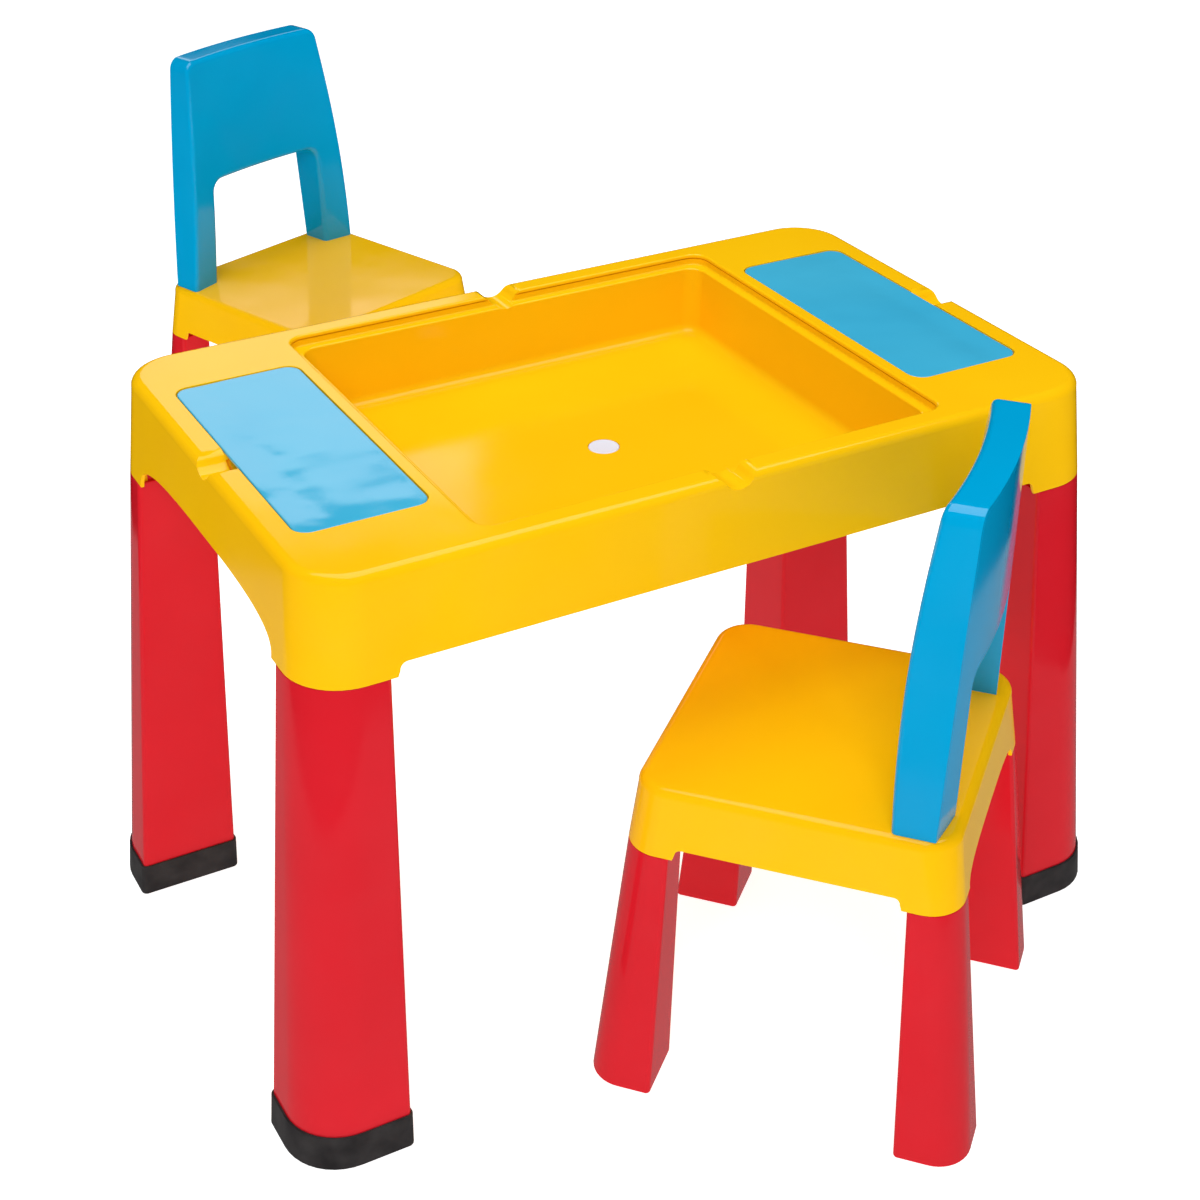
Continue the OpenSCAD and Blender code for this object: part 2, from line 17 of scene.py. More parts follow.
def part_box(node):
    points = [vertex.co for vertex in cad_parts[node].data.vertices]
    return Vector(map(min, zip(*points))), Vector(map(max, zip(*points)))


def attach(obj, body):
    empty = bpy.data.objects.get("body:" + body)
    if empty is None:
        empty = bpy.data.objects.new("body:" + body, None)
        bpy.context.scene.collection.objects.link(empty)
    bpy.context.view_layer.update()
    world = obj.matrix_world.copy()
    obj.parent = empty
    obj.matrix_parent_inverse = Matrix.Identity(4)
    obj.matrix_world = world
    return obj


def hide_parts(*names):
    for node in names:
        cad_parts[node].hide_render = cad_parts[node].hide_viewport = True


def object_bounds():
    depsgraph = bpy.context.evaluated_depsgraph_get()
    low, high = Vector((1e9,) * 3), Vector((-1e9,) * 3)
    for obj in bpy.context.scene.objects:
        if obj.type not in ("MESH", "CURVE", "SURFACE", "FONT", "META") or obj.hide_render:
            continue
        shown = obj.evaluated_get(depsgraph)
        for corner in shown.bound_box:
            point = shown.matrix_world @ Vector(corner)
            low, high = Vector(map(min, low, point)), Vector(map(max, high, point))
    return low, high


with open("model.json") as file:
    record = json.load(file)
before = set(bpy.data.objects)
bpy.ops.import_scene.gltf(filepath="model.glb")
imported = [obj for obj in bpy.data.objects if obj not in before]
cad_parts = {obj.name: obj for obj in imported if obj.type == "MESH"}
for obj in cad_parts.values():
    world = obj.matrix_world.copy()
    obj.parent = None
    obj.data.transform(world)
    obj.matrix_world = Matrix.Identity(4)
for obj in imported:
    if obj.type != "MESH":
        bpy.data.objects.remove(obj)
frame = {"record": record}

cad_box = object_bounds()
mounts = {m["name"]: m for m in frame["record"]["mounts"]}
print("CAD box:", [[round(v, 3) for v in corner] for corner in cad_box])

# %% [markdown]
# ## The camera
# A long lens stands high at the table's front left.  It could be aimed with a constraint, but a
# place and two angles are plainer and never move by themselves.

# %% Camera
camera_data = bpy.data.cameras.new("camera")
camera_data.sensor_width = 36
camera_data.lens = 61.3
camera_data.clip_end = 60
camera = bpy.data.objects.new("camera", camera_data)
bpy.context.collection.objects.link(camera)
camera.location = (-0.7114, -1.2871, 1.1666)
camera.rotation_euler = (math.radians(90 - 31.12), 0, math.radians(-28.81))
bpy.context.scene.camera = camera
bpy.context.scene.view_settings.view_transform = "Standard"
print("camera at", tuple(round(v, 2) for v in camera.location))

# %% [markdown]
# ## The studio
# Glossy plastic shows whatever stands round it, and a white room would wash its colour out.  So the
# room, the floor and the main light in front give light but don't show in the gloss, as behind a
# polarising filter.  What does show is chosen: a box overhead draws the line along each rounded
# edge, a card behind is mirrored on the left of the deck, and a low round card under it all is
# mirrored in the lower half of the legs.  The floor glows a little, like a light table, so that it
# stays plain white right up to the feet, and past its edge the room looks white too.

# %% Floor and soft boxes
WHITE = (1, 1, 1, 1)


def soft_box(name, place, aim, width, height, watts, shape="RECTANGLE", in_gloss=True, lights=True):
    """An area light at place, turned towards aim.  in_gloss says whether reflections show it, and
    lights whether it lights things too."""
    data = bpy.data.lights.new(name, "AREA")
    data.shape = shape
    data.size, data.size_y = width, height
    data.energy = watts
    light = bpy.data.objects.new(name, data)
    bpy.context.collection.objects.link(light)
    light.location = place
    light.rotation_euler = (Vector(aim) - Vector(place)).to_track_quat("-Z", "Y").to_euler()
    light.visible_camera = False
    light.visible_glossy = in_gloss
    light.visible_diffuse = lights
    return light


def node_material(name):
    """A new material with only a shader in it: the material, its node tree and the shader."""
    material = bpy.data.materials.new(name)
    material.use_nodes = True
    tree = material.node_tree
    tree.nodes.clear()
    shader = tree.nodes.new("ShaderNodeBsdfPrincipled")
    output = tree.nodes.new("ShaderNodeOutputMaterial")
    tree.links.new(shader.outputs["BSDF"], output.inputs["Surface"])
    return material, tree, shader


middle = (cad_box[0] + cad_box[1]) / 2
floor_mesh = bpy.data.meshes.new("studio_floor")
floor_reach, floor_gap = 9, 0.0005
floor_corners = [(x * floor_reach, y * floor_reach, 0) for x, y in ((-1, -1), (1, -1), (1, 1), (-1, 1))]
floor_mesh.from_pydata(floor_corners, [], [(0, 1, 2, 3)])
floor = bpy.data.objects.new("studio_floor", floor_mesh)
bpy.context.collection.objects.link(floor)
floor.location = (middle.x, middle.y, -floor_gap)
floor_paint, _, floor_shader = node_material("pale_floor")
floor_shader.inputs["Base Color"].default_value = (0.80, 0.80, 0.80, 1)
floor_shader.inputs["Roughness"].default_value = 0.9
floor_shader.inputs["Specular IOR Level"].default_value = 0.1
floor_shader.inputs["Emission Color"].default_value = WHITE
floor_shader.inputs["Emission Strength"].default_value = 0.82
floor_mesh.materials.append(floor_paint)
floor.visible_glossy = False

world = bpy.data.worlds.new("dim_room")
world.use_nodes = True
room = world.node_tree
glow = room.nodes["Background"]
glow.inputs["Color"].default_value = WHITE
glow.inputs["Strength"].default_value = 0.24
backdrop = room.nodes.new("ShaderNodeBackground")
backdrop.inputs["Color"].default_value = WHITE
looked_at = room.nodes.new("ShaderNodeLightPath")
either = room.nodes.new("ShaderNodeMixShader")
room.links.new(looked_at.outputs["Is Camera Ray"], either.inputs["Fac"])
room.links.new(glow.outputs["Background"], either.inputs[1])
room.links.new(backdrop.outputs["Background"], either.inputs[2])
room.links.new(either.outputs["Shader"], room.nodes["World Output"].inputs["Surface"])
bpy.context.scene.world = world
world.cycles_visibility.glossy = False

target = (middle.x, middle.y - 0.2, 0.3)
soft_box("top_box", (0.1, 0.1, 2.6), target, 2.2, 2.2, 40)
soft_box("key_box", (-1.6, -2.4, 2.7), target, 1.8, 1.6, 58, in_gloss=False)
soft_box("back_card", (0.82, 3.0, 1.75), (-0.2, 0, 0.5), 0.8, 0.9, 3.2, lights=False)
soft_box("low_card", (-0.1, 0.05, 0.002), (-0.1, 0.05, 1), 1.9, 1.9, 2.0, shape="DISK", lights=False)

# %% [markdown]
# ## Moulded plastic
# The parts are blown or pressed from dyed plastic.  The colour goes right through, so wear never
# shows another colour, but the dye is a little uneven, the skin shrinks over thick places and
# ripples, and years of hands leave it less shiny in patches.  A flat colour would miss all that,
# so one function mixes it from noise: slow noise for dye and ripple, fine noise for the skin.

# %% Plastic finishes
def noise_node(tree, scale, detail=2.0, distortion=0.0):
    """Noise in the piece's own metres, so the pattern keeps its real size."""
    place = tree.nodes.new("ShaderNodeTexCoord")
    texture = tree.nodes.new("ShaderNodeTexNoise")
    texture.inputs["Scale"].default_value = scale
    texture.inputs["Detail"].default_value = detail
    texture.inputs["Distortion"].default_value = distortion
    tree.links.new(place.outputs["Object"], texture.inputs["Vector"])
    return texture.outputs["Fac"]


def spread(tree, value, low, high, start=0.3, end=0.7):
    """Stretches a noise value from start..end to low..high."""
    node = tree.nodes.new("ShaderNodeMapRange")
    for name, number in (("From Min", start), ("From Max", end), ("To Min", low), ("To Max", high)):
        node.inputs[name].default_value = number
    tree.links.new(value, node.inputs["Value"])
    return node.outputs["Result"]


def bump_after(tree, height, distance, before=None):
    """A bump of the given height in metres, on top of the one before it."""
    node = tree.nodes.new("ShaderNodeBump")
    node.inputs["Strength"].default_value = 1.0
    node.inputs["Distance"].default_value = distance
    tree.links.new(height, node.inputs["Height"])
    if before is not None:
        tree.links.new(before, node.inputs["Normal"])
    return node.outputs["Normal"]


def two_tone(tree, shader, colour, deeper, pattern):
    """Mixes the base colour from two close ones, as a noise pattern says."""
    mix = tree.nodes.new("ShaderNodeMix")
    mix.data_type = "RGBA"
    mix.inputs["A"].default_value = (*colour, 1)
    mix.inputs["B"].default_value = (*deeper, 1)
    tree.links.new(spread(tree, pattern, 0.0, 1.0), mix.inputs["Factor"])
    tree.links.new(mix.outputs["Result"], shader.inputs["Base Color"])


def moulded_plastic(name, colour, deeper, gloss=(0.06, 0.13), ripple=0.0005, skin=0.000012,
                    ripple_size=0.09, specular=0.5):
    """Dyed plastic: two close colours, patchy gloss, slow ripples and a fine skin."""
    material, tree, shader = node_material(name)
    two_tone(tree, shader, colour, deeper, noise_node(tree, 5.0, detail=4.0, distortion=0.4))
    handled = noise_node(tree, 14.0, detail=6.0, distortion=0.8)
    tree.links.new(spread(tree, handled, *gloss), shader.inputs["Roughness"])
    shader.inputs["IOR"].default_value = 1.49
    shader.inputs["Specular IOR Level"].default_value = specular
    slow = bump_after(tree, noise_node(tree, 1 / ripple_size, detail=1.0), ripple)
    fine = bump_after(tree, noise_node(tree, 1400.0), skin, slow)
    tree.links.new(fine, shader.inputs["Normal"])
    return material


yellow = moulded_plastic("yellow_plastic", (0.98, 0.555, 0.004), (0.96, 0.515, 0.003), specular=0.3)
red = moulded_plastic("red_plastic", (0.68, 0.013, 0.024), (0.63, 0.010, 0.019))
blue = moulded_plastic("blue_plastic", (0.0, 0.36, 0.67), (0.0, 0.32, 0.61))
lid_blue = moulded_plastic("lid_plastic", (0.06, 0.46, 0.70), (0.045, 0.42, 0.67), gloss=(0.03, 0.08),
                           ripple=0.0010, ripple_size=0.05, specular=0.7)
white = moulded_plastic("white_plastic", (0.80, 0.80, 0.88), (0.74, 0.74, 0.84), gloss=(0.25, 0.35))
print("plastics:", len(bpy.data.materials))

# %% [markdown]
# Foot caps are black rubber: dull, with a fine pebbled skin and a grey bloom where they rub.

# %% Rubber finish
def cap_rubber():
    """Black rubber with a pebbled skin and a faint dusty bloom."""
    material, tree, shader = node_material("cap_rubber")
    two_tone(tree, shader, (0.014, 0.011, 0.012), (0.035, 0.030, 0.030), noise_node(tree, 60.0, detail=5.0))
    rubbed = noise_node(tree, 25.0, detail=4.0)
    tree.links.new(spread(tree, rubbed, 0.45, 0.62), shader.inputs["Roughness"])
    pebbles = bump_after(tree, noise_node(tree, 2200.0, detail=3.0), 0.00006)
    tree.links.new(pebbles, shader.inputs["Normal"])
    return material


rubber = cap_rubber()
print("finishes with the rubber:", len(bpy.data.materials))

# %% [markdown]
# ## Lofting
# Legs, caps, deck and seats are all stacks of rounded rectangles.  They could be cubes with bevels,
# but a bevel can't give one corner a radius of 44 mm and the others 3 mm, and can't follow a wall
# that leans.  So every form here is a loft: rings with the same number of points, one above the
# other, joined by four-sided faces and closed at both ends.

# %% Rings and lofts
MM = 0.001


def ring(x0, x1, y0, y1, z, radii, steps=10):
    """A rectangle with round corners: radii go (+x +y), (-x +y), (-x -y), (+x -y)."""
    spots = ((x1, y1, -1, -1), (x0, y1, 1, -1), (x0, y0, 1, 1), (x1, y0, -1, 1))
    points = []
    for quarter, ((x, y, in_x, in_y), r) in enumerate(zip(spots, radii)):
        for step in range(steps + 1):
            a = math.radians(90 * (quarter + step / steps))
            points.append(Vector((x + in_x * r + r * math.cos(a), y + in_y * r + r * math.sin(a), z)))
    return points


def loft(rings):
    """A closed bmesh through the rings, with one flat face at each end."""
    bm = bmesh.new()
    rows = [[bm.verts.new(p) for p in points] for points in rings]
    count = len(rows[0])
    for low, high in zip(rows, rows[1:]):
        for i in range(count):
            j = (i + 1) % count
            bm.faces.new((low[i], low[j], high[j], high[i]))
    bm.faces.new(rows[0][::-1])
    bm.faces.new(rows[-1])
    bmesh.ops.remove_doubles(bm, verts=bm.verts, dist=0.002 * MM)
    bmesh.ops.recalc_face_normals(bm, faces=bm.faces)
    return bm


def quarter_turn(steps):
    """Points round a quarter circle of radius 1, as pairs: what is left to go across, and what is
    already gone up."""
    for step in range(steps + 1):
        a = math.radians(90 * step / steps)
        yield 1 - math.sin(a), 1 - math.cos(a)


def turn_in(z, inset, r, way, steps=4):
    """Stations (z, inset) of a rounded end: from the flat end at z to the side.  way is 1 for a
    bottom edge and -1 for a top edge, which runs the other way, from the side to the end."""
    stations = [(z + way * r * gone, inset + r * left) for left, gone in quarter_turn(steps)]
    return stations if way > 0 else stations[::-1]


def piece_from(bm, name):
    """Puts a bmesh into the scene as an object and frees it."""
    mesh = bpy.data.meshes.new(name)
    bm.to_mesh(mesh)
    bm.free()
    piece = bpy.data.objects.new(name, mesh)
    bpy.context.collection.objects.link(piece)
    return piece


def dress(piece, material, body, node, angle=35):
    """Smooth shading with crisp edges, the material, and the body and CAD node it belongs to."""
    piece.data.materials.clear()
    piece.data.materials.append(material)
    piece.data.shade_smooth()
    piece.data.set_sharp_from_angle(angle=math.radians(angle))
    even = piece.modifiers.new("even_normals", "WEIGHTED_NORMAL")
    even.keep_sharp = True
    even.weight = 100
    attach(piece, body)
    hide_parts(node)
    return piece


print("lofting helpers ready")

# %% [markdown]
# ## Table legs
# Each leg is a hollow tapered tube with one broad round corner that faces out, in line with the
# corner of the deck, and a spigot on top that pushes into the table.  One function lofts the
# front-right leg and the other three are the same points mirrored.

# %% Sizes of the table
top_low, top_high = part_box("table_top")
deck_z = top_high.z
block_z = top_low.z
lean_x, lean_y = 0.099, 0.061
deck_x = top_high.x - lean_x * (deck_z - block_z)
deck_y = top_high.y - lean_y * (deck_z - block_z)
deck_corner = 44 * MM
leg_top = (63 * MM, 58 * MM)
leg_foot = (86 * MM, 75 * MM)
leg_inner_corner = 3.5 * MM
wall = 3 * MM
slip = 0.4 * MM
spigot = 42 * MM
cap_height = 30 * MM
cap_floor = 4 * MM
print(f"deck {2 * deck_x:.3f} x {2 * deck_y:.3f} m at {deck_z:.3f} m")


def deck_side_x(z):
    return deck_x + lean_x * (deck_z - z)


def deck_side_y(z):
    return deck_y + lean_y * (deck_z - z)


def leg_ring(side, outer, size, corner, z, inset):
    """One ring of a leg.  outer is the outer corner of the block, size its width and depth."""
    small = max(leg_inner_corner - inset, 0.8 * MM)
    broad = max(corner - inset, small)
    points = ring(outer[0] - size[0] + inset, outer[0] - inset, outer[1] - size[1] + inset,
                  outer[1] - inset, z, (broad, small, small, small))
    return [Vector((side[0] * p.x, side[1] * p.y, p.z)) for p in points]


def table_leg_ring(side, z, inset):
    share = max(0, (block_z - z) / block_z)
    size = [top + (foot - top) * share for top, foot in zip(leg_top, leg_foot)]
    if z > block_z:
        size = [size[0] + deck_side_x(z) - deck_side_x(block_z),
                size[1] + deck_side_y(z) - deck_side_y(block_z)]
    return leg_ring(side, (deck_side_x(z), deck_side_y(z)), size, deck_corner, z, inset)


# %% Table legs and foot caps
SIDES = {"front_left": (-1, -1), "front_right": (1, -1), "back_right": (1, 1), "back_left": (-1, 1)}


def table_leg(side):
    """Stations run up inside the foot, round the rim, up the outside and into the spigot."""
    fit = wall + slip
    top = block_z + spigot
    stations = [(block_z - 2 * wall, wall), (cap_floor, wall)]
    stations += turn_in(cap_floor, 0, 1 * MM, 1)
    stations += [(cap_floor + share * (block_z - cap_floor), 0) for share in (0.25, 0.5, 0.75)]
    stations += turn_in(block_z, 0, 0.5 * MM, -1, 3)
    stations += [(block_z, fit), (top - 2 * MM, fit), (top, fit + 1 * MM), (top, fit + wall),
                 (block_z, fit + wall)]
    return loft([table_leg_ring(side, z, inset) for z, inset in stations])


def foot_cap(side):
    """A rubber cup: out over the leg, in over its rim and down to the floor inside."""
    out = -1.8 * MM
    stations = turn_in(0, out, 1.6 * MM, 1)
    stations += turn_in(cap_height, out, 0.7 * MM, -1)
    stations += [(cap_height, -0.3 * MM), (cap_height - 1 * MM, 0), (cap_floor, 0)]
    return loft([table_leg_ring(side, z, inset) for z, inset in stations])


for corner_name, side in SIDES.items():
    dress(piece_from(table_leg(side), f"red_leg_{corner_name}"), red, "table",
          f"table_leg_{corner_name}")
    dress(piece_from(foot_cap(side), f"rubber_cap_{corner_name}"), rubber, "table",
          f"foot_cap_{corner_name}")
print("legs stand from", round(cap_floor, 4), "to", round(block_z + spigot, 4), "m")

# %% [markdown]
# ## The table top
# The top is one big moulding, open below: a deck with a rounded rim, a leaning skirt, and inside
# it the tray, the two pockets and the leg sockets.  It could be modelled face by face, but so many
# forms run into each other that it is safer to do what the mould maker does: make each form as a
# solid and let them add and cut.  The rounds belong to the cutters, so no bevel is needed later.

# %% Adding and cutting solids
overshoot = 5 * MM    # how far a cutter passes the face that it cuts
far = 0.5             # well outside the object, for cutters that run out of it


def combine(piece, tool, how):
    """Unites, cuts or intersects piece with tool, keeps the result and removes the tool."""
    step = piece.modifiers.new(how, "BOOLEAN")
    step.operation = how
    step.solver = "MANIFOLD"
    step.object = tool
    graph = bpy.context.evaluated_depsgraph_get()
    made = bpy.data.meshes.new_from_object(piece.evaluated_get(graph))
    piece.modifiers.clear()
    for old, mesh in ((piece, piece.data), (tool, tool.data)):
        if old is piece:
            piece.data = made
        else:
            bpy.data.objects.remove(old)
        bpy.data.meshes.remove(mesh)
    return piece


def solid(bm):
    """A bmesh as a working solid for combine()."""
    return piece_from(bm, "working_solid")


def prism(outline, axis, start, end):
    """An outline of (across, z) points, extruded along X or Y from start to end."""
    def place(u, v, t):
        return Vector((t, u, v)) if axis == "X" else Vector((u, t, v))
    return loft([[place(u, v, t) for u, v in outline] for t in (start, end)])


def span(way, near, beyond):
    """The ends of a stretch on one side of the middle, way 1 or -1, with the lower end first."""
    return sorted((way * near, way * beyond))


def rib(x0, x1, y0, y1, z0, z1):
    """A thin upright plate with soft corners."""
    r = min(x1 - x0, y1 - y0) * 0.3
    return loft([ring(x0, x1, y0, y1, z, (r,) * 4, 3) for z in (z0, z1)])


# %% Forms of the table top
edge_round, inner_round = 8 * MM, 5 * MM
broad_steps = 12      # points in a broad corner, the same in all rings of a deck or seat
long_rim = 22 * MM    # the flat strip between the tray and a long edge
tray_x, tray_y = 196.5 * MM, deck_y - long_rim
ledge_drop, ledge_width = 9 * MM, 8 * MM
tray_depth, tray_draft, tray_corner = 66 * MM, 4 * MM, 14 * MM
tray_z = deck_z - tray_depth
lid_low, lid_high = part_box("right_lid")
lid_mid, lid_half_x = (lid_low.x + lid_high.x) / 2, (lid_high.x - lid_low.x) / 2
lid_half_y, lid_corner = lid_high.y, 12 * MM
lid_edge = lid_mid + lid_half_x
lid_thick, lid_gap, lid_seat = 2.8 * MM, 0.8 * MM, 5 * MM
lid_bed_z = deck_z - lid_thick - 0.3 * MM
pocket_z = deck_z - lid_thick - 49 * MM
skirt_z = block_z + 11 * MM
plug_hole = 10 * MM


def deck_ring(z, inset):
    x, y = deck_side_x(z) - inset, deck_side_y(z) - inset
    return ring(-x, x, -y, y, z, (max(deck_corner - inset, 4 * MM),) * 4, broad_steps)


def rim_round(half_x, half_y, corner, lean, r, top_z, steps=8):
    """Rings of a deck's rounded rim, from the leaning side up to the flat top."""
    rings = []
    for step in range(steps + 1):
        a = -lean + (math.pi / 2 + lean) * step / steps
        out = r * math.cos(a) - r
        rings.append(ring(-half_x - out, half_x + out, -half_y - out, half_y + out,
                          top_z - r + r * math.sin(a), (corner + out,) * 4, broad_steps))
    return rings


def deck_outside():
    lip = [deck_ring(z, inset) for z, inset in turn_in(block_z, 0, 1.2 * MM, 1)]
    lean = (lean_x + lean_y) / 2
    return loft(lip + rim_round(deck_x, deck_y, deck_corner, lean, edge_round, deck_z))


def deck_inside():
    under = deck_z - wall
    return loft([deck_ring(block_z - 2 * overshoot, wall), deck_ring(under - inner_round, wall)]
                + [deck_ring(z, inset) for z, inset in turn_in(under, wall, inner_round, -1)])


def centred(half_x, half_y, r, z, mid_x=0.0):
    return ring(mid_x - half_x, mid_x + half_x, -half_y, half_y, z, (r,) * 4)


def tray_form(grow):
    """The tray's inside when grow is 0, as a cutter; its outside when grow is the wall."""
    lip, crease, floor_round = 2.2 * MM, 1.6 * MM, 8 * MM
    ledge_z = deck_z - ledge_drop - grow
    inner_x, inner_y = tray_x - ledge_width + grow, tray_y - ledge_width + grow
    rows = []
    if grow == 0:
        rows.append((tray_x + lip, tray_y + lip, tray_corner + lip, deck_z + overshoot))
        for left, gone in quarter_turn(5):
            out = lip * left
            rows.append((tray_x + out, tray_y + out, tray_corner + out, deck_z - lip * gone))
    else:
        rows.append((tray_x + grow, tray_y + grow, tray_corner + grow, deck_z - edge_round / 2))
    for left, gone in quarter_turn(3):
        back = crease * gone - grow
        rows.append((tray_x - back, tray_y - back, tray_corner - back, ledge_z + crease * left))
    for left, gone in quarter_turn(4):
        out = crease * left
        rows.append((inner_x + out, inner_y + out, tray_corner + grow, ledge_z - crease * gone))
    for left, gone in quarter_turn(6):
        back = tray_draft + floor_round * gone
        corner = max(tray_corner + grow - floor_round * gone, 5 * MM)
        rows.append((inner_x - back, inner_y - back, corner, tray_z - grow + floor_round * left))
    return loft([centred(x, y, r, z) for x, y, r, z in rows])


def lid_bed(mid_x):
    """Cutter for the shallow bed that a lid lies in."""
    x, y, r = lid_half_x + lid_gap, lid_half_y + lid_gap, lid_corner + lid_gap
    lip = 0.7 * MM
    rows = [(lip, deck_z + overshoot), (lip, deck_z), (lip * 0.3, deck_z - lip * 0.3),
            (0, deck_z - lip), (0, lid_bed_z)]
    return loft([centred(x + out, y + out, r + out, z, mid_x) for out, z in rows])


def pocket_form(mid_x, grow):
    """Cutter for the pocket under a lid, or its outside."""
    x, y, r = lid_half_x - lid_seat + grow, lid_half_y - lid_seat + grow, lid_corner + grow
    top = lid_bed_z + 1 * MM if grow == 0 else lid_bed_z - wall / 2
    rows = [(0, top)] + [(back, z) for z, back in turn_in(pocket_z - grow, 0, inner_round, 1)[::-1]]
    return loft([centred(x - back, y - back, max(r - back, 3 * MM), z, mid_x) for back, z in rows])


def notch_outline(grow):
    """Cross-section of a finger notch: a round bottom that flows into round shoulders."""
    r, depth, shoulder = 14 * MM, 11 * MM, 11 * MM
    centre_z = deck_z + r - depth
    if grow:
        return [((r + grow) * math.cos(math.radians(a)), centre_z + (r + grow) * math.sin(math.radians(a)))
                for a in range(180, 361, 12)]
    gap = r - depth + shoulder
    shoulder_y = math.sqrt((r + shoulder) ** 2 - gap ** 2)
    meet = math.atan2(-gap, shoulder_y)
    right = [(r * math.cos(a), centre_z + r * math.sin(a))
             for a in (-math.pi / 2 + (meet + math.pi / 2) * i / 10 for i in range(11))]
    start = meet + math.pi
    right += [(shoulder_y + shoulder * math.cos(a), deck_z - shoulder + shoulder * math.sin(a))
              for a in (start + (math.pi / 2 - start) * i / 8 for i in range(1, 9))]
    right.append((shoulder_y, deck_z + overshoot))
    left = [(-y, z) for y, z in right[:0:-1]]
    return left + right


def notch_bars(grow, reach, past):
    """A bar across each of the four rims, from reach inside it to past outside it."""
    rims = (("X", lid_edge - reach, deck_x + past), ("Y", tray_y - reach, deck_y + past))
    return [prism(notch_outline(grow), axis, *span(way, start, end))
            for way in (-1, 1) for axis, start, end in rims]


def soft_slot(half, low, high, r, steps=5):
    """Outline of an opening in a skirt's edge: flat on top, with round upper corners."""
    arc = [(half - r + r * math.cos(math.radians(a)), high - r + r * math.sin(math.radians(a)))
           for a in (90 * i / steps for i in range(steps + 1))]
    flare = [(half + r * 0.6, low), (half + r * 0.6, low + 1 * MM)]
    right = flare + arc
    return right + [(-u, v) for u, v in right[::-1]]


def broad_arch(half, rise, low, base):
    """Outline of the broad arch in a short side: steep shoulders and a nearly flat crown."""
    steps, outline = 36, [(half, low)]
    for i in range(steps + 1):
        a = math.pi * i / steps
        c, s = math.cos(a), math.sin(a)
        outline.append((half * math.copysign(abs(c) ** (2 / 3), c), base + rise * abs(s) ** (2 / 3)))
    return outline + [(-half, low)]


print("tray floor at", round(tray_z, 3), "m, pocket floors at", round(pocket_z, 3), "m")

# %% Build the table top
leg_in_x = deck_side_x(block_z) - leg_top[0]
leg_in_y = deck_side_y(block_z) - leg_top[1]
socket_z = block_z + spigot + 1 * MM
boss_half, plug_seat, plug_sink = plug_hole + 7.5 * MM, 13 * MM, 1.6 * MM
end_rib_y, rib_half = 0.087, 1 * MM
opening_side, arch_rise = 6 * MM, 28 * MM


def table_top():
    inside = solid(deck_inside())
    fill = solid(tray_form(wall))
    for way in (-1, 1):
        combine(fill, solid(pocket_form(way * lid_mid, wall)), "UNION")
        grow = lid_gap + wall
        bed = [centred(lid_half_x + grow, lid_half_y + grow, lid_corner + grow, z, way * lid_mid)
               for z in (lid_bed_z - wall, deck_z - 1.5 * MM)]
        combine(fill, solid(loft(bed)), "UNION")
    for side in SIDES.values():
        xs, ys = span(side[0], leg_in_x, far), span(side[1], leg_in_y, far)
        wall_block = solid(rib(*xs, *ys, block_z, deck_z - 2 * MM))
        xs, ys = span(side[0], leg_in_x + wall, 2 * far), span(side[1], leg_in_y + wall, 2 * far)
        combine(wall_block, solid(rib(*xs, *ys, block_z - far, socket_z)), "DIFFERENCE")
        combine(wall_block, solid(rib(*xs, *ys, socket_z + wall, far + deck_z)), "DIFFERENCE")
        combine(fill, wall_block, "UNION")
    rib_low, rib_high = skirt_z + 5 * MM, deck_z - edge_round / 2
    for way in (-1, 1):
        for i in range(4):
            x = (tray_x - 30 * MM) * (2 * i / 3 - 1)
            ys = span(way, tray_y - 3 * MM, far)
            combine(fill, solid(rib(x - rib_half, x + rib_half, *ys, rib_low, rib_high)), "UNION")
        for y in (-end_rib_y, end_rib_y):
            xs = span(way, lid_edge - lid_seat - 2 * MM, far)
            combine(fill, solid(rib(*xs, y - rib_half, y + rib_half, pocket_z, rib_high)), "UNION")
    for bar in notch_bars(wall, -lid_gap, far):
        combine(fill, solid(bar), "UNION")
    boss = [centred(boss_half, boss_half, boss_half - 0.1 * MM, z)
            for z in (tray_z - 7 * MM, tray_z - 1 * MM)]
    combine(fill, solid(loft(boss)), "UNION")
    combine(inside, fill, "DIFFERENCE")
    top = piece_from(deck_outside(), "moulded_table_top")
    combine(top, inside, "DIFFERENCE")
    combine(top, solid(tray_form(0)), "DIFFERENCE")
    for way in (-1, 1):
        combine(top, solid(lid_bed(way * lid_mid)), "DIFFERENCE")
        combine(top, solid(pocket_form(way * lid_mid, 0)), "DIFFERENCE")
    for bar in notch_bars(0, ledge_width + 1 * MM, 10 * MM):
        combine(top, solid(bar), "DIFFERENCE")
    low = block_z - overshoot
    for way in (-1, 1):
        slot = soft_slot(leg_in_x - opening_side, low, skirt_z, 6 * MM)
        combine(top, solid(prism(slot, "Y", *span(way, tray_y + wall, far))), "DIFFERENCE")
        arch = broad_arch(leg_in_y - opening_side, arch_rise, low, block_z)
        combine(top, solid(prism(arch, "X", *span(way, lid_edge + lid_gap + wall, far))), "DIFFERENCE")
    hole = [(plug_hole, tray_z - 20 * MM), (plug_hole, tray_z - plug_sink), (plug_seat, tray_z - plug_sink),
            (plug_seat, tray_z + overshoot)]
    combine(top, solid(loft([centred(r, r, r * 0.998, z) for r, z in hole])), "DIFFERENCE")
    return top


top = dress(table_top(), yellow, "table", "table_top", 38)
print("table top has", len(top.data.polygons), "faces")

